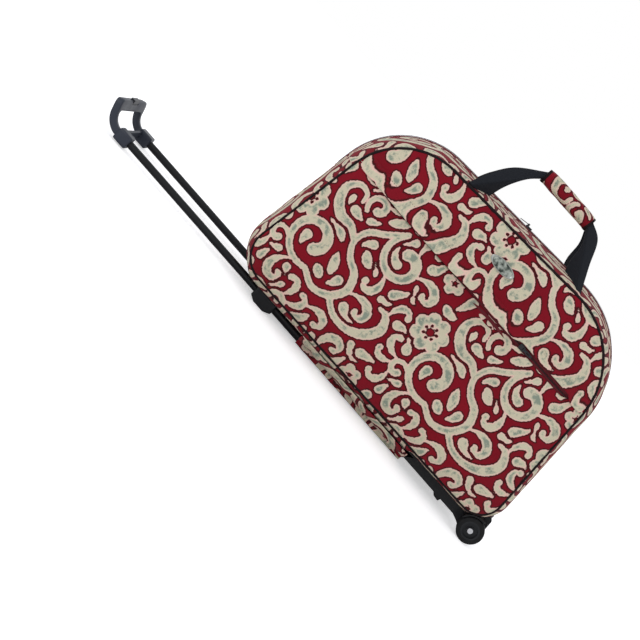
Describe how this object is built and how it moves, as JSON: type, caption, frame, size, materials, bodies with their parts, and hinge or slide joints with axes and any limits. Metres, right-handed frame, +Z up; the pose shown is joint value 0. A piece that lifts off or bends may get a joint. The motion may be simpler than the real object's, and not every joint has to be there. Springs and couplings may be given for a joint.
{
  "type": "rolling travel bag",
  "caption": "Soft printed travel bag on wheels, with a pull handle on telescoping tubes, a wrapped carry handle, a front zip pocket and piped seams.",
  "frame": {"origin": "on the floor, under the middle of the box of the whole object with the pull handle drawn out", "axes": "+X along the bag from the pull handle to the wheels, +Y from the front pocket to the back panel, +Z up"},
  "size_m": [0.8594, 0.2282, 0.4608],
  "materials": {
    "printed_cloth": "woven polyester with a scroll print in dark red and cream",
    "piping_cord": "black corded piping",
    "zip_cloth": "woven zip tape",
    "zip_coil": "moulded coil teeth",
    "badge_plate": "dark bare oval plate with a raised rim",
    "zip_metal": "dark nickel-coloured zinc",
    "webbing": "black ribbed webbing",
    "tube_metal": "steel tube, black, half gloss",
    "moulded_black": "moulded nylon, fine grain",
    "button_plastic": "moulded, smooth",
    "spring_steel": "spring steel",
    "screw_steel": "zinc plated",
    "sleeve_cloth": "cream cloth with the bag's print",
    "axle_steel": "zinc plated",
    "hub_plastic": "moulded",
    "wheel_tyre": "soft black polyurethane"
  },
  "bodies": {
    "bag": {"bag_body": "printed_cloth", "front_piping": "piping_cord", "back_piping": "piping_cord", "front_pocket": "printed_cloth", "pocket_zip": "zip_cloth", "pocket_lip": "printed_cloth", "badge": "badge_plate", "main_zip_tape": "zip_cloth", "main_zip_coil": "zip_coil", "carry_strap_front": "webbing", "carry_strap_back": "webbing", "handle_wrap": "webbing", "outer_tube_front": "tube_metal", "outer_tube_back": "tube_metal", "tube_guide_front": "moulded_black", "tube_guide_back": "moulded_black", "bracket_saddle": "moulded_black", "bracket_clamp": "moulded_black", "bracket_screws": "screw_steel", "tube_anchor": "moulded_black", "tube_sleeve": "sleeve_cloth", "wheel_base": "moulded_black", "base_screws": "screw_steel", "axle_front": "axle_steel", "axle_back": "axle_steel", "axle_clip_front": "axle_steel", "axle_clip_back": "axle_steel"},
    "trolley": {"grip": "moulded_black", "inner_tube_front": "tube_metal", "inner_tube_back": "tube_metal", "tube_plug_front": "moulded_black", "tube_plug_back": "moulded_black", "lock_spring_front": "spring_steel", "lock_spring_back": "spring_steel", "button_spring": "spring_steel"},
    "release_button": {"release_button": "button_plastic"},
    "wheel_front": {"wheel_hub_front": "hub_plastic", "tyre_front": "wheel_tyre"},
    "wheel_back": {"wheel_hub_back": "hub_plastic", "tyre_back": "wheel_tyre"},
    "main_slider": {"main_slider": "zip_metal"},
    "main_puller": {"main_puller": "zip_metal"},
    "pocket_slider": {"pocket_slider": "zip_metal"},
    "pocket_puller": {"pocket_puller": "zip_metal"}
  },
  "joints": [
    {"name": "trolley_slide", "type": "slide", "parent": "bag", "child": "trolley", "axis": [1, 0, 0], "range_m": [0, 0.235], "deforming": ["lock_spring_front", "lock_spring_back"]},
    {"name": "release_press", "type": "slide", "parent": "trolley", "child": "release_button", "axis": [0, 0, -1], "range_m": [0, 0.003], "stiffness_N_per_m": 600, "deforming": ["button_spring"]},
    {"name": "wheel_front_spin", "type": "hinge", "parent": "bag", "child": "wheel_front", "pos_m": [0.40804, -0.0791, 0.0217], "axis": [0, 1, 0], "continuous": true},
    {"name": "wheel_back_spin", "type": "hinge", "parent": "bag", "child": "wheel_back", "pos_m": [0.40804, 0.0869, 0.0217], "axis": [0, 1, 0], "continuous": true},
    {"name": "main_zip_run", "type": "slide", "parent": "bag", "child": "main_slider", "axis": [0.9984, 0, 0.0569], "range_m": [-0.125, 0.105]},
    {"name": "main_puller_swing", "type": "hinge", "parent": "main_slider", "child": "main_puller", "pos_m": [0.12444, 0.0039, 0.38094], "axis": [0, 1, 0], "range_deg": [0, 150]},
    {"name": "pocket_zip_run", "type": "slide", "parent": "bag", "child": "pocket_slider", "axis": [1, 0, 0], "range_m": [-0.275, 0.06]},
    {"name": "pocket_puller_swing", "type": "hinge", "parent": "pocket_slider", "child": "pocket_puller", "pos_m": [0.24974, -0.1126, 0.2618], "axis": [0, 0, -1], "range_deg": [0, 150]}
  ]
}
